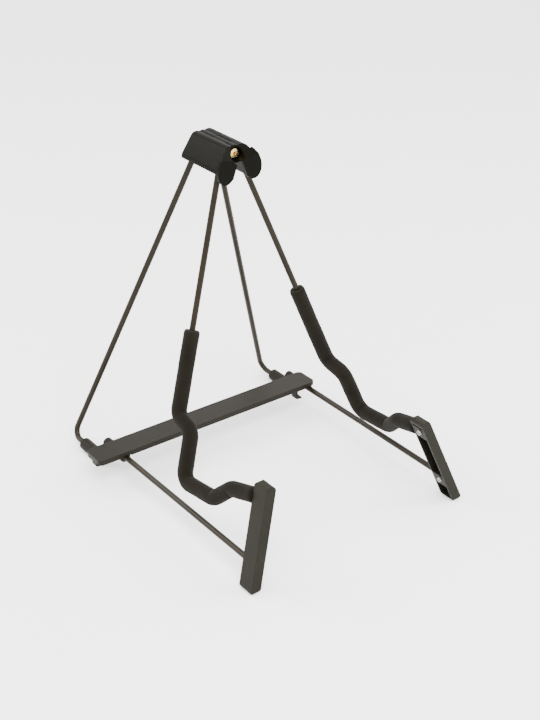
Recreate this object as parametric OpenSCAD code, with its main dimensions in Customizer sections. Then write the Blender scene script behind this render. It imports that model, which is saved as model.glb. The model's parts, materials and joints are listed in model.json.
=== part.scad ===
// Folding wire A-frame stand for an instrument.
// Two bent-wire side frames hinge together at the top. A crossbar near the floor
// pivots on the left base rod and drops over the right one to hold them apart.

/* [Frame] */
// Diameter of the wire rods
rod_d = 6; // [5.5:0.1:6.2]
// Lean of each side frame from upright, in degrees
lean = 19.6; // [19.3:0.1:19.9]
// Distance from the middle to each side frame at the floor
half_w = 126.7; // [126.4:0.1:127.2]
// Height of the hinge axis above the floor
hinge_z = 332.8; // [332.4:0.1:333.2]
// Height of the base rods above the floor
base_z = 24.7; // [24.4:0.1:25.2]
// Bend radius of the wire
bend_r = 12; // [10:1:12]

/* [Foam sleeves] */
// Outside diameter of the foam sleeves
foam_d = 15.6; // [14.4:0.2:16]
// Height of the foam sleeves' upper ends
foam_top = 181; // [176:1:190]
// How much lower the left sleeve ends
foam_slip = 7; // [0:1:8]

/* [Foot blocks] */
// Thickness of a foot block across the frame
block_t = 10.5; // [10.4:0.1:11.5]
// Depth of a foot block, front to back
block_d = 18.5; // [18:0.1:19]
// Height of a foot block
block_h = 92.6; // [92:0.2:96]
// Wall thickness of the mouldings
wall = 1.8; // [1.5:0.1:2]

/* [Crossbar] */
// Overhang of the crossbar past the left base rod
bar_over = 33; // [28:1:33]
// Width of the crossbar, front to back
bar_w = 28; // [27:0.5:29]
// Height of the crossbar's top above the floor
bar_top = 34; // [33.5:0.5:34.5]
// Depth of the crossbar's skirt
bar_skirt = 5.6; // [5.4:0.1:6.5]

/* [Hinge] */
// Length of the caps, front to back
cap_len = 62.8; // [62.4:0.2:63.6]
// Diameter of the hinge pin
pin_d = 5; // [4:0.5:5]

/* [Hidden] */

$fn = 48;
cl = cos(lean);
sl = sin(lean);
rr = rod_d / 2;
// Small gap round a part that is held in a moulding
fit = 0.02;
// Hinge position in a side frame's own axes: across the frame, and up along it
hx = -half_w * cl + hinge_z * sl;
ht = half_w * sl + hinge_z * cl;
base_t = base_z / cl;
base_x = half_w - base_z * sl / cl;
cap_y0 = 40.7;
cap_y1 = cap_y0 + cap_len;
bar_y0 = 77.2;
bar_y1 = bar_y0 + bar_w;
bar_x0 = -base_x - bar_over;
bar_x1 = base_x + 5.6;
foot_z = 6.5;
foot_t = foot_z / cl;
// Offset that puts the origin at the middle of the footprint
org_x = 10.5;
org_y = -14.6;

charcoal = [0.16, 0.15, 0.13];
olive = [0.20, 0.19, 0.16];
foam_c = [0.10, 0.095, 0.085];
silver = [0.78, 0.77, 0.73];
brass_c = [0.80, 0.64, 0.32];

// Wire routes in a frame's own axes: front to back, and up along the frame
leg_pts = [[-129.5, 82.3 / cl], [-82.6, 69.5 / cl], [-62.8, 50.2 / cl], [-14.4, 45.3 / cl],
    [-5.7, 90.5 / cl], [19.8, 96 / cl], [57.7, 325 / cl]];
rear_pts = [[126, foot_t], [179.3, foot_t], [97, 325 / cl]];

module frame_side(right) {
    translate([org_x, org_y, 0])
        if (right) translate([half_w, 0, 0]) rotate([0, -lean, 0]) children();
        else mirror([1, 0, 0]) translate([half_w, 0, 0]) rotate([0, -lean, 0]) children();
}

// Unit direction, length and turning of a route
function sub2(a, b) = [b[0] - a[0], b[1] - a[1]];
function len2(v) = sqrt(v[0] * v[0] + v[1] * v[1]);
function dirang(v) = atan2(v[1], v[0]);
function wrap(a) = a > 180 ? a - 360 : a < -180 ? a + 360 : a;
function turn(p, i) = wrap(dirang(sub2(p[i], p[i + 1])) - dirang(sub2(p[i - 1], p[i])));
function tang(p, i, r) = r[i] == 0 ? 0 : r[i] * tan(abs(turn(p, i)) / 2);

// A straight run from a to b in the frame's plane
module run2(a, b, r) {
    translate([0, a[0], a[1]]) rotate([dirang(sub2(a, b)) - 90, 0, 0])
        cylinder(r = r, h = len2(sub2(a, b)));
}

// Sections along a wire's route: [front to back, up, heading], with each bend in even steps
function bend_at(p, br, i) = let (
    d0 = dirang(sub2(p[i - 1], p[i])), t = turn(p, i), s = sign(t), q = tang(p, i, br),
    a = p[i] - q * [cos(d0), sin(d0)], c = a + s * br[i] * [-sin(d0), cos(d0)],
    m = ceil(abs(t) / 14))
    [for (k = [0:m]) let (h = d0 + t * k / m) [c[0] + s * br[i] * sin(h), c[1] - s * br[i] * cos(h), h]];
function route(p, br) = let (n = len(p)) concat(
    [[p[0][0], p[0][1], dirang(sub2(p[0], p[1]))]],
    [for (i = [1:1:n - 2]) each bend_at(p, br, i)],
    [[p[n - 1][0], p[n - 1][1], dirang(sub2(p[n - 2], p[n - 1]))]]);
sides = 20;
function ring(q, r) = [for (j = [0:sides - 1]) let (a = 360 * j / sides)
    [r * cos(a), q[0] - r * sin(a) * sin(q[2]), q[1] + r * sin(a) * cos(q[2])]];

// A solid wire of radius r along the points p, with bend radius br[i] at each inner point
module wire(p, br, r) {
    q = route(p, br);
    m = len(q);
    polyhedron(
        points = [for (k = [0:m - 1]) each ring(q[k], r)],
        faces = concat(
            [[for (j = [0:sides - 1]) j]],
            [[for (j = [0:sides - 1]) (m - 1) * sides + sides - 1 - j]],
            [for (k = [0:m - 2]) for (j = [0:sides - 1]) let (j1 = (j + 1) % sides)
                each [[k * sides + j, (k + 1) * sides + j, (k + 1) * sides + j1],
                    [k * sides + j, (k + 1) * sides + j1, k * sides + j1]]]));
}

// A tube along the points p, outside radius ro, bore radius ri
module sleeve(p, br, ro, ri) {
    q = route(p, br);
    m = len(q);
    o = m * sides;
    polyhedron(
        points = concat([for (k = [0:m - 1]) each ring(q[k], ro)], [for (k = [0:m - 1]) each ring(q[k], ri)]),
        faces = concat(
            [for (k = [0:m - 2]) for (j = [0:sides - 1]) let (j1 = (j + 1) % sides)
                each [[k * sides + j, (k + 1) * sides + j, (k + 1) * sides + j1],
                    [k * sides + j, (k + 1) * sides + j1, k * sides + j1],
                    [o + k * sides + j, o + (k + 1) * sides + j1, o + (k + 1) * sides + j],
                    [o + k * sides + j, o + k * sides + j1, o + (k + 1) * sides + j1]]],
            [for (j = [0:sides - 1]) let (j1 = (j + 1) % sides, e = (m - 1) * sides)
                each [[j, j1, o + j1], [j, o + j1, o + j],
                    [e + j, o + e + j1, e + j1], [e + j, o + e + j, o + e + j1]]]));
}

// Round sockets for the ends of the wires
module leg_top(r) { run2(leg_pts[6] + [0, 0.1], leg_pts[6] + (leg_pts[5] - leg_pts[6]) * 0.3, r); }
module rear_top(r) { run2(rear_pts[2] + [0, 0.1], rear_pts[2] + (rear_pts[1] - rear_pts[2]) * 0.25, r); }
module rear_end(r) { run2(rear_pts[0] - [0.1, 0], rear_pts[1], r); }
// The front leg's end in the foot block
module leg_end(r) { run2(leg_pts[0] + (leg_pts[0] - leg_pts[1]) * 0.002, leg_pts[1] + (leg_pts[0] - leg_pts[1]) * 0.3, r); }

module front_leg_shape(r = rr) {
    wire(leg_pts, [0, bend_r, bend_r, bend_r, bend_r, bend_r, 0], r);
}
module rear_leg_shape(r = rr) {
    wire(rear_pts, [0, 10, 0], r);
}

module front_leg(right) {
    color(charcoal) frame_side(right) difference() {
        front_leg_shape();
        translate([-rr - 1, -125, leg_z(-125)]) rotate([0, 90, 0]) cylinder(r = 1.35, h = rod_d + 2);
    }
}
function leg_z(y) = leg_pts[0][1] + (leg_pts[1][1] - leg_pts[0][1]) * (y - leg_pts[0][0]) / (leg_pts[1][0] - leg_pts[0][0]);

module rear_leg(right) {
    color(charcoal) frame_side(right) rear_leg_shape();
}

module base_rod(right) {
    color(charcoal) frame_side(right) difference() {
        translate([0, -141, base_t]) rotate([-90, 0, 0]) cylinder(r = rr, h = 141 + 117);
        translate([-rr - 1, -137, base_t]) rotate([0, 90, 0]) cylinder(r = 1.35, h = rod_d + 2);
    }
}

// The foam covers the cradle from the foot block up to foam_top
module foam(right) {
    ft = (foam_top - (right ? 0 : foam_slip)) / cl;
    k = (ft - leg_pts[5][1]) / (leg_pts[6][1] - leg_pts[5][1]);
    top = leg_pts[5] + (leg_pts[6] - leg_pts[5]) * k;
    lo = [-115.3, leg_z(-115.3)];
    pts = [lo, leg_pts[1], leg_pts[2], leg_pts[3], leg_pts[4], leg_pts[5], top];
    brs = [0, bend_r, bend_r, bend_r, bend_r, bend_r, 0];
    color(foam_c) frame_side(right) sleeve(pts, brs, foam_d / 2, rr + 0.06);
}

// Side outline of a foot block: front to back, and height above the floor
block_front = -151.1;
block_rake = 0.208;
// How far the block sits inside the plane of the wires
block_in = 1.2;
block_x0 = -block_t / 2 - block_in;
function block_pt(z, back) = [block_front + block_rake * z + (back ? block_d : 0), z];
function corner(c, r, a0, a1) = [for (k = [0:4]) let (a = a0 + (a1 - a0) * k / 4) [c[0] + r * cos(a), c[1] + r * sin(a)]];
module block_side() {
    r = 3;
    polygon(concat(
        corner(block_pt(0, false) + [r + 0.6, r], r, 180, 270),
        corner(block_pt(0, true) + [-r * 0.8, r], r, 270, 360),
        corner(block_pt(block_h, true) + [-r - 0.6, -r], r, 0, 90),
        corner(block_pt(block_h, false) + [r * 0.8, -r], r, 90, 180)));
}
// Front outline: leaning with the frame, all four corners rounded
function slab_x(z, k) = half_w - block_in - z * sl / cl + k * block_t / 2 / cl;
module block_front_outline() {
    r = 3;
    zt = block_h - r;
    i = r / cl;
    polygon(concat(
        corner([slab_x(r, 1) - i, r], r, 270, 360 + lean),
        corner([slab_x(zt, 1) - i, zt], r, lean, 90),
        corner([slab_x(zt, -1) + i, zt], r, 90, 180 + lean),
        corner([slab_x(r, -1) + i, r], r, 180 + lean, 270)));
}
module block_solid() {
    intersection() {
        translate([-60, 0, 0]) rotate([90, 0, 90]) linear_extrude(height = 260) block_side();
        translate([0, -95, 0]) rotate([90, 0, 0]) linear_extrude(height = 80) block_front_outline();
    }
}
// One pocket between two heights along the frame, open on the inner side
module pocket(t0, t1) {
    z0 = t0 * cl;
    z1 = t1 * cl;
    f = block_front + wall + 0.3;
    b = block_front + block_d - wall - 0.3;
    rotate([90, 0, 90]) linear_extrude(height = block_t - wall)
        polygon([[f + block_rake * z0, t0], [b + block_rake * z0, t0], [b + block_rake * z1, t1], [f + block_rake * z1, t1]]);
}
module foot_block_body() {
    leg_t = leg_z(-125);
    difference() {
        block_solid();
        translate([half_w, 0, 0]) rotate([0, -lean, 0]) {
            translate([block_x0 - 0.01, 0, 0]) {
                pocket(4.6, base_t - 6.5);
                pocket(base_t + 6.5, leg_t - 6.5);
                pocket(leg_t + 6.2, block_h / cl - 4.2);
            }
            // Blind sockets for the leg and the base rod
            leg_end(rr + fit);
            translate([0, -141.1, base_t]) rotate([-90, 0, 0]) cylinder(r = rr + fit, h = 60);
            // Screw holes across the rods' ends
            translate([block_x0 - 1, -125, leg_t]) rotate([0, 90, 0]) cylinder(r = 1.32, h = 10.5);
            translate([block_x0 - 1, -137, base_t]) rotate([0, 90, 0]) cylinder(r = 1.32, h = 10.5);
        }
    }
}
module foot_block(right) {
    color(olive) translate([org_x, org_y, 0])
        if (right) foot_block_body();
        else mirror([1, 0, 0]) foot_block_body();
}

module pan_screw() {
    // Domed head outside, shank into the rib, with a cross recess
    difference() {
        union() {
            rotate([0, -90, 0]) cylinder(r1 = 3, r2 = 2.3, h = 1.6);
            rotate([0, 90, 0]) cylinder(r = 1.3, h = 9.2);
        }
        translate([-1.7, -0.35, -1.5]) cube([0.9, 0.7, 3]);
        translate([-1.7, -1.5, -0.35]) cube([0.9, 3, 0.7]);
    }
}
module block_screws(right) {
    color(silver) frame_side(right) {
        translate([block_x0 - fit, -125, leg_z(-125)]) pan_screw();
        translate([block_x0 - fit, -137, base_t]) pan_screw();
    }
}

// Round foot on the rear leg's bent end, joined by a web to a barrel on the base rod
module rear_foot(right) {
    color(charcoal) frame_side(right) difference() {
        union() {
            translate([0, bar_y1 + 16, foot_t]) rotate([-90, 0, 0]) cylinder(r = foot_z, h = 34.7);
            translate([0, bar_y1 + 1.2, base_t]) rotate([-90, 0, 0]) cylinder(r = 5.2, h = 12.5);
            // Web from the barrel down to the foot
            translate([-2.2, bar_y1 + 1.8, foot_t]) rotate([90, 0, 90]) linear_extrude(height = 4.4)
                polygon([[0, base_t - foot_t - 3], [17, 0], [30, 0], [30, 5], [20, 8], [11, base_t - foot_t - 2], [11, base_t - foot_t]]);
        }
        rear_end(rr + fit);
        translate([0, bar_y1, base_t]) rotate([-90, 0, 0]) cylinder(r = rr + fit, h = 117 + fit - bar_y1);
    }
}

// Turns a point in the frame's own axes, measured from the hinge, into upright axes
function up2(x, t) = [(x - hx) * cl - t * sl, (x - hx) * sl + t * cl];
knuckle_r = 8.4;
// Ends of the front, middle and rear knuckles, from the front of the lobes
k0 = 6;
k1 = 19;
k2 = 40;
bottom_t = -21.8;
module cap_outline() {
    polygon([[0.15, 6.6], [2.8, 7.8], [6, 8.5], [9, 8.4], [11.6, 7.2], [13.4, 5],
        up2(11.3, -17), up2(11.2, -19.5), up2(10.4, bottom_t), up2(hx + 0.3, bottom_t),
        up2(hx + 0.3, -6), [0.15, -0.6]]);
}
module lobe_outline() {
    polygon([[0.15, 6.6], [3, 7.8], [8, 8.4], [12.5, 7.2], [17.5, 3.6], [21.4, -1.6], [24, -7.6],
        [25, -13], [24.6, -17.6], [23, -21.6], [20.4, -24.4], [17, -25.6], [14, -25.4],
        [11.4, -24], up2(hx + 0.4, -22.6), up2(hx + 0.4, -6), [0.15, -0.6]]);
}
module along(y0, y1) {
    translate([0, cap_y0 + y1, hinge_z]) rotate([90, 0, 0]) linear_extrude(height = y1 - y0) children();
}
module disc(y0, y1, r) {
    translate([0, cap_y0 + y0, hinge_z]) rotate([-90, 0, 0]) cylinder(r = r, h = y1 - y0);
}
// own and other are the knuckle spans, front to back, from the cap's front
module cap_body(own, other) {
    difference() {
        union() {
            difference() {
                union() {
                    along(3, cap_len) cap_outline();
                    along(0, 4) lobe_outline();
                }
                for (k = other) disc(k[0] - 0.35, k[1] + 0.35, knuckle_r + 0.4);
                // Wide seam between the two caps behind the front knuckle
                translate([-1, cap_y0 + k1 + 1.5, hinge_z - 3]) cube([1.9, 18, 20]);
            }
            for (k = own) disc(k[0] + 0.1, k[1] - 0.1, knuckle_r);
        }
        // Sloped top of the front lobe
        translate([0, cap_y0, hinge_z - 6.5]) rotate([0, -16, 0]) rotate([-32, 0, 0])
            translate([-60, -60, 0]) cube([120, 60, 60]);
        // Hollow behind the slanted outer face
        translate([half_w, 0, 0]) rotate([0, -lean, 0])
            translate([5.2, cap_y0 + 7, ht - 40]) cube([3.8, cap_len - 10, 25]);
        // Wire ends
        translate([half_w, 0, 0]) rotate([0, -lean, 0]) {
            leg_top(rr + fit);
            rear_top(rr + fit);
        }
        // Pin bore, head recess and rear recess
        disc(-1, cap_len + 1, pin_d / 2 + 0.05);
        disc(-1, k0 + 5.5, 6.4);
        disc(cap_len - 4, cap_len + 1, 5.2);
    }
}
module cap(right) {
    color(olive) translate([org_x, org_y, 0])
        if (right) cap_body([[k0, k1], [k2, cap_len]], [[k1, k2]]);
        else mirror([1, 0, 0]) cap_body([[k1, k2]], [[-2, k1], [k2, cap_len + 2]]);
}
module hinge_pin() {
    color(brass_c) translate([org_x, org_y, 0]) difference() {
        union() {
            disc(k0 + 5.6, cap_len - 1.2, pin_d / 2);
            disc(k0 + 3.4, k0 + 5.48, 4.4);
            disc(k0 + 5.4, k0 + 6, pin_d / 2);
        }
        disc(k0, k0 + 9, 1.6);
    }
}
module pin_retainer() {
    color(silver) translate([org_x, org_y, 0]) difference() {
        disc(cap_len - 3.8, cap_len - 2.6, 4.8);
        disc(cap_len - 5, cap_len, pin_d / 2 + fit);
    }
}

// Crossbar: top plate, skirt, pivot lug on the left rod and open saddle on the right rod
module bar_plan(inset) {
    r = 5 - inset;
    x0 = bar_x0 + inset;
    x1 = bar_x1 - inset;
    y0 = bar_y0 + inset;
    y1 = bar_y1 - inset;
    polygon(concat(corner([x0 + r, y0 + r], r, 180, 270), corner([x1 - r, y0 + r], r, 270, 360),
        corner([x1 - r, y1 - r], r, 0, 90), corner([x0 + r, y1 - r], r, 90, 180)));
}
lug_y0 = bar_y0 + 6;
lug_y1 = bar_y1 - 6;
module crossbar() {
    color(olive) translate([org_x, org_y, 0]) difference() {
        union() {
            difference() {
                translate([0, 0, bar_top - bar_skirt]) linear_extrude(height = bar_skirt) bar_plan(0);
                translate([0, 0, bar_top - bar_skirt - 1]) linear_extrude(height = bar_skirt - 1.6) bar_plan(2);
            }
            // Stiffening ribs under the plate
            for (k = [-2:2]) translate([k * 40 - 0.8, bar_y0 + 1, bar_top - bar_skirt + 0.5]) cube([1.6, bar_w - 2, bar_skirt - 1.5]);
            translate([-100, bar_y0 + bar_w / 2 - 0.8, bar_top - bar_skirt + 0.5]) cube([200, 1.6, bar_skirt - 1.5]);
            // Pivot lug
            translate([-base_x, lug_y0, base_z]) rotate([-90, 0, 0]) cylinder(r = 6, h = lug_y1 - lug_y0);
            translate([-base_x - 6, lug_y0, base_z]) cube([12, lug_y1 - lug_y0, bar_top - base_z - 1]);
            // Saddle
            translate([base_x - 6.5, lug_y0, base_z - 5]) cube([12.5, lug_y1 - lug_y0, bar_top - base_z + 4]);
        }
        translate([-base_x, bar_y0 - 5, base_z]) rotate([-90, 0, 0]) cylinder(r = rr + 0.05, h = bar_w + 10);
        translate([base_x, bar_y0 - 5, base_z]) rotate([-90, 0, 0]) cylinder(r = rr + 0.08, h = bar_w + 10);
        // Arches where the base rods pass the skirts
        for (y = [bar_y0 - 1, bar_y1 - 5]) {
            translate([-base_x, y, base_z]) rotate([-90, 0, 0]) cylinder(r = 5.6, h = 6);
            translate([base_x, y, base_z]) rotate([-90, 0, 0]) cylinder(r = 5.6, h = 6);
        }
        // The saddle is open below and on its inner side
        translate([base_x - 20, bar_y0 - 5, base_z - 12]) cube([20 + rr + 0.08, bar_w + 10, 12]);
        translate([base_x - 20, bar_y0 - 5, base_z - 0.1]) cube([20 - 2.4, bar_w + 10, 1.9]);
    }
}
// Small hook under an end of the crossbar, open towards the right
module hook_at(x, y, z0, w) {
    h = bar_top - 2.6 - z0 - fit;
    color(olive) translate([org_x, org_y, 0]) translate([x, bar_y0 + y, z0]) rotate([90, 0, 0]) mirror([0, 0, 1])
        linear_extrude(height = w)
            polygon([[0, h], [0, 1.6], [0.6, 0.5], [1.8, 0], [5.2, -0.4], [8.2, -0.2], [8.4, 0.7], [7.6, 1.3],
                [4.6, 1.6], [3.2, 2.6], [2.6, 4.4], [2.6, h]]);
}
module bar_hook_left() hook_at(bar_x0 + 2.4, 12.4, 20.5, 8);
module bar_hook_right() hook_at(base_x - 19, 2.4, 17.2, 8);

front_leg(false);  // front_leg_left
front_leg(true);  // front_leg_right
rear_leg(false);  // rear_leg_left
rear_leg(true);  // rear_leg_right
base_rod(false);  // base_rod_left
base_rod(true);  // base_rod_right
foam(false);  // foam_left
foam(true);  // foam_right
foot_block(false);  // foot_block_left
foot_block(true);  // foot_block_right
block_screws(false);  // block_screws_left
block_screws(true);  // block_screws_right
rear_foot(false);  // rear_foot_left
rear_foot(true);  // rear_foot_right
cap(false);  // cap_left
cap(true);  // cap_right
hinge_pin();
pin_retainer();
crossbar();
bar_hook_left();
bar_hook_right();
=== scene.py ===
import bpy, bmesh, json, math
from mathutils import Vector, Matrix


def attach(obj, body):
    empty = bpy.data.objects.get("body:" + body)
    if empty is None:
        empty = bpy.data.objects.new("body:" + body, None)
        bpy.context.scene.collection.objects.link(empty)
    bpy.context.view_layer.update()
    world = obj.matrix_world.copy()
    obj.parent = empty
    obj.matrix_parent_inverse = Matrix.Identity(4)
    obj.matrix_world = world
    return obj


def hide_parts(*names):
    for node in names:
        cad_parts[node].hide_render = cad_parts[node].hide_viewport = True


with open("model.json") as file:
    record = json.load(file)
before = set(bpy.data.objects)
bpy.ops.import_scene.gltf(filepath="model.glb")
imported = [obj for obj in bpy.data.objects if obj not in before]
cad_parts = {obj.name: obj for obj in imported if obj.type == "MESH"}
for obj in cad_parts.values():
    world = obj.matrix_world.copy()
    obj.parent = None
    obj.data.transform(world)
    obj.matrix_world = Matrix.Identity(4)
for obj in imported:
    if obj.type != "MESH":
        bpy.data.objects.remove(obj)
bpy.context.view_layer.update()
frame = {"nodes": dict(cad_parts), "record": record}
REC = frame["record"]
MM = 0.001

# ------------------------------------------------------------------ placing, from the record
J = {j["name"]: j for j in REC["behaviour"]["joints"]}
ORG_X, ORG_Y, HINGE_Z = J["frame_fold"]["pos_m"]
BAR_X, _, BASE_Z = J["crossbar_swing"]["pos_m"]
BASE_X = ORG_X - BAR_X
LEAN = math.radians(19.6)
HALF_W = BASE_X + BASE_Z * math.tan(LEAN)
CL, SL = math.cos(LEAN), math.sin(LEAN)


def place(side, x, y, t):
    """A point of a side frame (out across the frame, front to back, up along it) in the row frame."""
    return Vector((ORG_X + side * (HALF_W + x * CL - t * SL), ORG_Y + y, x * SL + t * CL))


# ------------------------------------------------------------------ materials
def new_mat(name):
    m = bpy.data.materials.new(name)
    m.use_nodes = True
    nt = m.node_tree
    bsdf = next(n for n in nt.nodes if n.type == "BSDF_PRINCIPLED")
    tc = nt.nodes.new("ShaderNodeTexCoord")
    return m, nt, bsdf, tc


def noise(nt, tc, scale, detail=4.0, rough=0.55, stretch=None):
    n = nt.nodes.new("ShaderNodeTexNoise")
    n.inputs["Scale"].default_value = scale
    n.inputs["Detail"].default_value = detail
    n.inputs["Roughness"].default_value = rough
    if stretch:
        mp = nt.nodes.new("ShaderNodeMapping")
        mp.inputs["Scale"].default_value = stretch
        nt.links.new(tc.outputs["Object"], mp.inputs["Vector"])
        nt.links.new(mp.outputs["Vector"], n.inputs["Vector"])
    else:
        nt.links.new(tc.outputs["Object"], n.inputs["Vector"])
    return n


def ramp(nt, src, stops):
    r = nt.nodes.new("ShaderNodeValToRGB")
    e = r.color_ramp.elements
    while len(e) < len(stops):
        e.new(0.5)
    for el, (p, c) in zip(e, stops):
        el.position = p
        el.color = (*c, 1) if len(c) == 3 else (c[0], c[0], c[0], 1)
    nt.links.new(src, r.inputs["Fac"])
    return r


def math_node(nt, op, a, b):
    n = nt.nodes.new("ShaderNodeMath")
    n.operation = op
    for i, v in enumerate((a, b)):
        if isinstance(v, (int, float)):
            n.inputs[i].default_value = v
        else:
            nt.links.new(v, n.inputs[i])
    return n.outputs[0]


def bump(nt, bsdf, height, strength, dist, round_r=0.0):
    b = nt.nodes.new("ShaderNodeBump")
    b.inputs["Strength"].default_value = strength
    b.inputs["Distance"].default_value = dist
    nt.links.new(height, b.inputs["Height"])
    if round_r:
        v = nt.nodes.new("ShaderNodeBevel")
        v.samples = 4
        v.inputs["Radius"].default_value = round_r
        nt.links.new(v.outputs["Normal"], b.inputs["Normal"])
    nt.links.new(b.outputs["Normal"], bsdf.inputs["Normal"])


def mix_col(nt, fac, a, b):
    m = nt.nodes.new("ShaderNodeMix")
    m.data_type = "RGBA"
    nt.links.new(fac, m.inputs["Factor"])
    for key, v in (("A", a), ("B", b)):
        sock = next(s for s in m.inputs if s.name == key and s.type == "RGBA")
        if isinstance(v, tuple):
            sock.default_value = (*v, 1)
        else:
            nt.links.new(v, sock)
    return next(s for s in m.outputs if s.type == "RGBA")


def moulded(name, dark, light, rough=0.5, grain=2600.0, depth=0.00005, round_r=0.0006, spec=0.08):
    """Fine-textured moulded plastic: cloudy tone, faint scuffs, a pebbled grain."""
    m, nt, bsdf, tc = new_mat(name)
    cloud = noise(nt, tc, 26.0, 5.0, 0.6)
    base = ramp(nt, cloud.outputs["Fac"], [(0.3, dark), (0.72, light)])
    scuff = noise(nt, tc, 90.0, 6.0, 0.7, (0.35, 2.2, 1.0))
    sc = ramp(nt, scuff.outputs["Fac"], [(0.6, (0.0,)), (0.72, (0.35,))])
    col = mix_col(nt, sc.outputs["Color"], base.outputs["Color"], tuple(min(1, c * 1.5 + 0.002) for c in light))
    nt.links.new(col, bsdf.inputs["Base Color"])
    rr = ramp(nt, cloud.outputs["Fac"], [(0.25, (rough - 0.06,)), (0.75, (rough + 0.08,))])
    nt.links.new(rr.outputs["Color"], bsdf.inputs["Roughness"])
    bsdf.inputs["Specular IOR Level"].default_value = spec
    v = nt.nodes.new("ShaderNodeTexVoronoi")
    v.inputs["Scale"].default_value = grain
    nt.links.new(tc.outputs["Object"], v.inputs["Vector"])
    fine = noise(nt, tc, grain * 0.6, 3.0, 0.6)
    h = math_node(nt, "ADD", v.outputs["Distance"], fine.outputs["Fac"])
    h = math_node(nt, "ADD", h, math_node(nt, "MULTIPLY", cloud.outputs["Fac"], 1.5))
    bump(nt, bsdf, h, 0.35, depth, round_r)
    return m


def rod_paint():
    """Thin satin paint over drawn steel wire, with a cloudy tone and small chips."""
    m, nt, bsdf, tc = new_mat("rod_paint")
    cloud = noise(nt, tc, 30.0, 4.0)
    base = ramp(nt, cloud.outputs["Fac"], [(0.3, (0.0078, 0.0055, 0.0024)), (0.75, (0.0130, 0.0094, 0.0044))])
    speck = noise(nt, tc, 700.0, 3.0, 0.6)
    sp = ramp(nt, speck.outputs["Fac"], [(0.66, (0.0,)), (0.74, (0.55,))])
    col = mix_col(nt, sp.outputs["Color"], base.outputs["Color"], (0.036, 0.028, 0.016))
    nt.links.new(col, bsdf.inputs["Base Color"])
    rr = ramp(nt, cloud.outputs["Fac"], [(0.25, (0.27,)), (0.75, (0.38,))])
    nt.links.new(rr.outputs["Color"], bsdf.inputs["Roughness"])
    bsdf.inputs["Specular IOR Level"].default_value = 0.11
    bsdf.inputs["Coat Weight"].default_value = 0.02
    bsdf.inputs["Coat Roughness"].default_value = 0.22
    orange = noise(nt, tc, 420.0, 4.0, 0.5)
    bump(nt, bsdf, orange.outputs["Fac"], 0.25, 0.00008)
    return m


def foam_mat():
    """Closed-cell foam: fine pores, a soft matte skin, lighter scuffed patches."""
    m, nt, bsdf, tc = new_mat("foam")
    cloud = noise(nt, tc, 38.0, 5.0, 0.65)
    base = ramp(nt, cloud.outputs["Fac"], [(0.3, (0.0046, 0.0038, 0.0025)), (0.75, (0.0084, 0.0071, 0.0048))])
    pores = nt.nodes.new("ShaderNodeTexVoronoi")
    pores.inputs["Scale"].default_value = 1500.0
    nt.links.new(tc.outputs["Object"], pores.inputs["Vector"])
    pr = ramp(nt, pores.outputs["Distance"], [(0.05, (0.75,)), (0.35, (0.0,))])
    col = mix_col(nt, pr.outputs["Color"], base.outputs["Color"], (0.0030, 0.0025, 0.0018))
    nt.links.new(col, bsdf.inputs["Base Color"])
    bsdf.inputs["Roughness"].default_value = 0.86
    bsdf.inputs["Specular IOR Level"].default_value = 0.04
    bsdf.inputs["Sheen Weight"].default_value = 0.03
    bsdf.inputs["Sheen Roughness"].default_value = 0.5
    lump = noise(nt, tc, 160.0, 4.0, 0.6)
    fine = noise(nt, tc, 1900.0, 3.0, 0.7)
    h = math_node(nt, "ADD", math_node(nt, "MULTIPLY", pores.outputs["Distance"], 0.8),
                  math_node(nt, "MULTIPLY", lump.outputs["Fac"], 2.2))
    h = math_node(nt, "ADD", h, fine.outputs["Fac"])
    bump(nt, bsdf, h, 0.6, 0.00022)
    return m


def metal(name, lo, hi, rough, streak=(1.0, 1.0, 1.0), round_r=0.0003):
    m, nt, bsdf, tc = new_mat(name)
    n = noise(nt, tc, 240.0, 5.0, 0.65, streak)
    base = ramp(nt, n.outputs["Fac"], [(0.3, lo), (0.7, hi)])
    nt.links.new(base.outputs["Color"], bsdf.inputs["Base Color"])
    bsdf.inputs["Metallic"].default_value = 1.0
    rr = ramp(nt, n.outputs["Fac"], [(0.3, (rough,)), (0.7, (rough + 0.16,))])
    nt.links.new(rr.outputs["Color"], bsdf.inputs["Roughness"])
    bump(nt, bsdf, n.outputs["Fac"], 0.25, 0.00004, round_r)
    return m


MAT = {
    "rod_paint": rod_paint(),
    "foam": foam_mat(),
    "moulding": moulded("moulding", (0.0064, 0.0060, 0.0036), (0.0104, 0.0097, 0.0060), 0.46),
    "bar_moulding": moulded("bar_moulding", (0.0062, 0.0050, 0.0032), (0.0098, 0.0081, 0.0056), 0.42, 2200.0, spec=0.085),
    "rear_foot": moulded("rear_foot", (0.0055, 0.0047, 0.0031), (0.0092, 0.0080, 0.0054), 0.6, 1800.0),
    "screw_steel": metal("screw_steel", (0.17, 0.16, 0.145), (0.30, 0.29, 0.26), 0.34),
    "pin_brass": metal("pin_brass", (0.62, 0.42, 0.14), (0.86, 0.66, 0.28), 0.20),
}
CAP_MAT = moulded("moulding_cap", (0.0014, 0.0013, 0.0007), (0.0028, 0.0026, 0.0014), 0.42, 2600.0, spec=0.032)
SLOT = {s["node"]: s["material_slot"] for s in REC["subparts"]}


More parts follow.
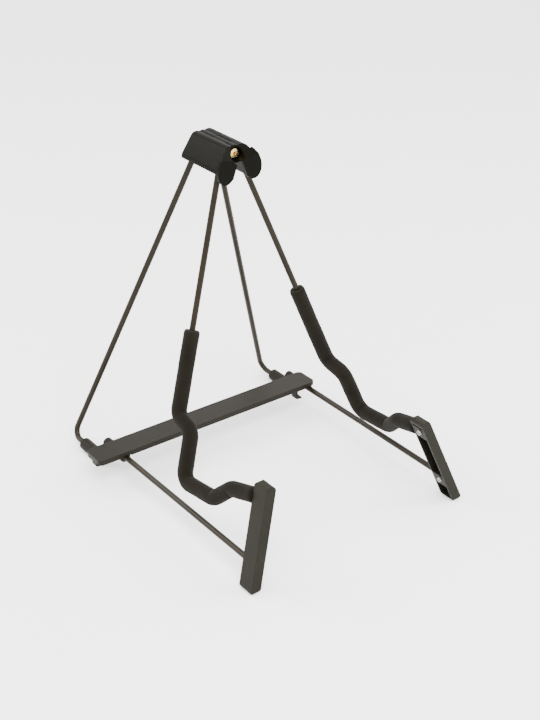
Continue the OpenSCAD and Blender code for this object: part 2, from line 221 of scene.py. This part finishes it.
# ------------------------------------------------------------------ wire and foam runs
def fillet(pts, radii, step=3.0):
    """Points and headings along a route in a side frame's plane, bends in even steps of about `step` degrees."""
    out = []
    n = len(pts)
    head = [math.atan2(pts[i + 1][1] - pts[i][1], pts[i + 1][0] - pts[i][0]) for i in range(n - 1)]
    out.append((pts[0][0], pts[0][1], head[0], 0.0))
    for i in range(1, n - 1):
        t = (head[i] - head[i - 1] + math.pi) % (2 * math.pi) - math.pi
        s = 1 if t > 0 else -1
        r = radii[i]
        q = r * math.tan(abs(t) / 2)
        ax, ay = pts[i][0] - q * math.cos(head[i - 1]), pts[i][1] - q * math.sin(head[i - 1])
        cx, cy = ax - s * r * math.sin(head[i - 1]), ay + s * r * math.cos(head[i - 1])
        m = max(2, math.ceil(abs(math.degrees(t)) / step))
        for k in range(m + 1):
            h = head[i - 1] + t * k / m
            out.append((cx + s * r * math.sin(h), cy - s * r * math.cos(h), h, s * math.sin(math.pi * k / m)))
    out.append((pts[-1][0], pts[-1][1], head[-1], 0.0))
    # straight stretches filled in, so that the surface detail has somewhere to live
    fine = [out[0]]
    for a, b in zip(out, out[1:]):
        d = math.dist(a[:2], b[:2])
        k = max(1, int(d / 0.0022))
        if d < 1e-7:
            continue
        for j in range(1, k + 1):
            u = j / k
            fine.append((a[0] + (b[0] - a[0]) * u, a[1] + (b[1] - a[1]) * u,
                         a[2] + (b[2] - a[2]) * u, a[3] + (b[3] - a[3]) * u))
    return fine


def hash1(i, k=0):
    v = math.sin(i * 12.9898 + k * 78.233) * 43758.5453
    return v - math.floor(v)


def tube(name, side, runs, segs=32):
    """One closed surface from a list of sections (y, t, heading, radius function)."""
    bm = bmesh.new()
    rings = []
    for y, t, h, rad in runs:
        ring = []
        for j in range(segs):
            a = 2 * math.pi * j / segs
            r = rad(a) if callable(rad) else rad
            ring.append(bm.verts.new(place(side, r * math.cos(a), y - r * math.sin(a) * math.sin(h),
                                           t + r * math.sin(a) * math.cos(h))))
        rings.append(ring)
    for p, q in zip(rings, rings[1:]):
        for j in range(segs):
            k = (j + 1) % segs
            bm.faces.new((p[j], p[k], q[k], q[j]))
    return bm, rings


def close_mesh(bm, name):
    bmesh.ops.recalc_face_normals(bm, faces=bm.faces)
    me = bpy.data.meshes.new(name)
    bm.to_mesh(me)
    bm.free()
    for p in me.polygons:
        p.use_smooth = True
    ob = bpy.data.objects.new(name, me)
    bpy.context.collection.objects.link(ob)
    return ob


LEG = [(-129.5, 82.3), (-82.6, 69.5), (-62.8, 50.2), (-14.4, 45.3), (-5.7, 90.5), (19.8, 96), (57.7, 325)]
LEG = [(y * MM, z * MM / CL) for y, z in LEG]
FOOT_T = 6.5 * MM / CL
REAR = [(126 * MM, FOOT_T), (179.3 * MM, FOOT_T), (97 * MM, 325 * MM / CL)]
ROD_R = 3.0 * MM
FOAM_R = 7.8 * MM
BEND = 12 * MM


def wire_piece(node, side, pts, radii, body):
    path = fillet(pts, radii)
    runs = [(y, t, h, ROD_R) for y, t, h, _ in path]
    # rounded ends
    c = 0.6 * MM

    def nudge(s, d, r):
        return (s[0] + d * math.cos(s[2]), s[1] + d * math.sin(s[2]), s[2], r)
    runs = [nudge(path[0], 0.0, ROD_R - c), nudge(path[0], c * 0.3, ROD_R - c * 0.3), nudge(path[0], c, ROD_R)] + runs[1:-1] + \
           [nudge(path[-1], -c, ROD_R), nudge(path[-1], -c * 0.3, ROD_R - c * 0.3), nudge(path[-1], 0.0, ROD_R - c)]
    bm, rings = tube(node, side, runs, 28)
    bm.faces.new(list(reversed(rings[0])))
    bm.faces.new(rings[-1])
    ob = close_mesh(bm, "vis_" + node)
    ob.data.materials.append(MAT["rod_paint"])
    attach(ob, body)
    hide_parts(node)
    return ob


def leg_t(y):
    for (y0, t0), (y1, t1) in zip(LEG, LEG[1:]):
        if y0 <= y <= y1:
            return t0 + (t1 - t0) * (y - y0) / (y1 - y0)


def foam_piece(node, side, body, seed):
    y_lo = -115.3 * MM
    top_z = TOP_Z[side]
    # the last run's point at the sleeve's top
    (ya, ta), (yb, tb) = LEG[5], LEG[6]
    u = (top_z / CL - ta) / (tb - ta)
    pts = [(y_lo, leg_t(y_lo))] + LEG[1:6] + [(ya + (yb - ya) * u, top_z / CL)]
    path = fillet(pts, [0, BEND, BEND, BEND, BEND, BEND, 0], 2.5)
    runs = []
    n = len(path)
    s_at = [0.0]
    for a, b in zip(path, path[1:]):
        s_at.append(s_at[-1] + math.dist(a[:2], b[:2]))
    total = s_at[-1]

    def section(i):
        y, t, h, bend = path[i]
        s = s_at[i]

        def rad(a):
            # slow unevenness of the sleeve, never outside its nominal radius
            r = FOAM_R - 0.02 * MM
            r += 0.07 * MM * math.sin(s * 95 + seed + 1.3 * math.sin(a + seed))
            r += 0.05 * MM * math.sin(s * 230 + 2 * a + seed * 2)
            # creases on the inside of each bend, slight flattening on the outside
            inside = max(0.0, math.sin(a) * (1 if bend > 0 else -1)) if abs(bend) > 1e-3 else 0.0
            if inside:
                r -= abs(bend) * (inside ** 2) * MM * (0.42 + 0.34 * math.sin(s * 2100 + 0.8 * math.sin(3 * a)))
            out = max(0.0, -math.sin(a) * (1 if bend > 0 else -1)) if abs(bend) > 1e-3 else 0.0
            r -= abs(bend) * (out ** 2) * 0.16 * MM
            # cut ends press in a little
            end = min(s, total - s)
            if end < 1.6 * MM:
                k = 1 - end / (1.6 * MM)
                r -= 0.75 * MM * (1 - math.sqrt(max(0.0, 1 - k * k)))
            return min(r, FOAM_R + 0.12 * MM)
        return (y, t, h, rad)
    # fine sections near the two ends for the rounded lips
    runs = [section(i) for i in range(n)]

    def lip(i, sign):
        y, t, h, _ = path[i]
        out = []
        for d, r in ((0.0, 7.05), (-0.12, 6.5), (-0.25, 5.5), (-0.35, 4.4), (-0.35, 3.7), (0.1, 3.3), (0.9, 3.08)):
            dd = (d if d > 0 else d) * MM * sign
            # minus pulls the face in towards the middle of the sleeve
            k = -dd if d <= 0 else dd
            out.append((y + k * math.cos(h), t + k * math.sin(h), h, r * MM))
        return out
    first = lip(0, 1)
    last = lip(n - 1, -1)
    runs = list(reversed(first)) + runs[1:-1] + last
    # the bore
    bore = [(y, t, h, 3.08 * MM) for y, t, h, _ in path[2:-2]]
    bm, rings = tube(node, side, runs + list(reversed(bore)), 40)
    a, b = rings[-1], rings[0]
    for j in range(40):
        k = (j + 1) % 40
        bm.faces.new((a[j], a[k], b[k], b[j]))
    ob = close_mesh(bm, "vis_" + node)
    ob.data.materials.append(MAT["foam"])
    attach(ob, body)
    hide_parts(node)
    return ob


TOP_Z = {-1: 174 * MM, 1: 181 * MM}
for side, word in ((-1, "left"), (1, "right")):
    body = word + "_frame"
    wire_piece("front_leg_" + word, side, LEG, [0, BEND, BEND, BEND, BEND, BEND, 0], body)
    wire_piece("rear_leg_" + word, side, REAR, [0, 10 * MM, 0], body)
    foam_piece("foam_" + word, side, body, 0.7 if side > 0 else 2.9)

# ------------------------------------------------------------------ CAD nodes that are shown
REPLACED = {"front_leg_left", "front_leg_right", "rear_leg_left", "rear_leg_right", "foam_left", "foam_right"}
SOFTEN = {"foot_block": 1.2, "cap": 0.9, "crossbar": 0.8, "rear_foot": 0.6, "bar_hook": 0.35,
          "block_screws": 0.12, "hinge_pin": 0.2}
for name, ob in frame["nodes"].items():
    if name in REPLACED:
        continue
    ob.data.materials.clear()
    ob.data.materials.append(CAP_MAT if name.startswith("cap") else MAT[SLOT[name]])
    for key, width in SOFTEN.items():
        if name.startswith(key):
            w = ob.modifiers.new("weld", "WELD")
            w.merge_threshold = 0.00001
            b = ob.modifiers.new("soft_edges", "BEVEL")
            b.width = width * MM
            b.segments = 3
            b.limit_method = "ANGLE"
            b.angle_limit = math.radians(38)
            b.use_clamp_overlap = True
            b.harden_normals = False
            b.miter_outer = "MITER_ARC"
            wn = ob.modifiers.new("even", "WEIGHTED_NORMAL")
            wn.keep_sharp = False
            wn.weight = 80

# ------------------------------------------------------------------ studio
fl = bmesh.new()
bmesh.ops.create_grid(fl, x_segments=4, y_segments=4, size=9.0)
me = bpy.data.meshes.new("floor")
fl.to_mesh(me)
fl.free()
floor = bpy.data.objects.new("floor", me)
bpy.context.collection.objects.link(floor)
floor.location = (0, 0, -0.0002)
fm, fnt, fb, ftc = new_mat("floor_paper")
fn = noise(fnt, ftc, 3.0, 3.0)
fr = ramp(fnt, fn.outputs["Fac"], [(0.3, (0.945, 0.945, 0.943)), (0.7, (0.955, 0.955, 0.953))])
fnt.links.new(fr.outputs["Color"], fb.inputs["Base Color"])
fb.inputs["Roughness"].default_value = 0.9
floor.data.materials.append(fm)

world = bpy.data.worlds.new("studio")
bpy.context.scene.world = world
world.use_nodes = True
bg = world.node_tree.nodes["Background"]
bg.inputs["Color"].default_value = (1.0, 0.995, 0.985, 1)
bg.inputs["Strength"].default_value = 3.1


def area(name, loc, target, size, power, size_y=None, col=(1, 1, 1)):
    d = bpy.data.lights.new(name, "AREA")
    d.energy = power
    d.size = size
    d.color = col
    if size_y:
        d.shape = "RECTANGLE"
        d.size_y = size_y
    o = bpy.data.objects.new(name, d)
    bpy.context.collection.objects.link(o)
    o.location = loc
    o.rotation_mode = "QUATERNION"
    o.rotation_quaternion = (Vector(target) - Vector(loc)).to_track_quat("-Z", "Y")
    return o


area("key", (-0.4, -1.0, 1.7), (0, 0, 0.12), 1.1, 52, 0.9)
area("side", (1.5, -0.7, 1.1), (0, 0, 0.15), 0.9, 20, 0.9)
area("back", (-0.9, 1.3, 1.3), (0, 0, 0.18), 1.0, 26, 0.8)

# ------------------------------------------------------------------ camera
AZ, EL, ROLL = math.radians(-37.235), math.radians(29.702), math.radians(-0.197)
DIST, F_PX, CX, CY, TX, TZ = 1.34241, 1343.73, 281.106, 382.788, 0.017535, 0.103056
back = Vector((math.sin(AZ) * math.cos(EL), -math.cos(AZ) * math.cos(EL), math.sin(EL)))
right = Vector((math.cos(AZ), math.sin(AZ), 0))
down = (-back).cross(right)
r2 = math.cos(ROLL) * right + math.sin(ROLL) * down
d2 = -math.sin(ROLL) * right + math.cos(ROLL) * down
loc = Vector((TX + ORG_X, ORG_Y, TZ)) + back * DIST
cd = bpy.data.cameras.new("camera")
cam = bpy.data.objects.new("camera", cd)
bpy.context.collection.objects.link(cam)
cd.sensor_width = 36
cd.sensor_fit = "AUTO"
cd.lens = F_PX * 36 / 720
cd.shift_x = (270 - CX) / 720
cd.shift_y = (CY - 360) / 720
cd.clip_start = 0.05
cd.clip_end = 60
rot = Matrix((r2, -d2, back)).transposed()
cam.matrix_world = Matrix.Translation(loc) @ rot.to_4x4()
bpy.context.scene.camera = cam
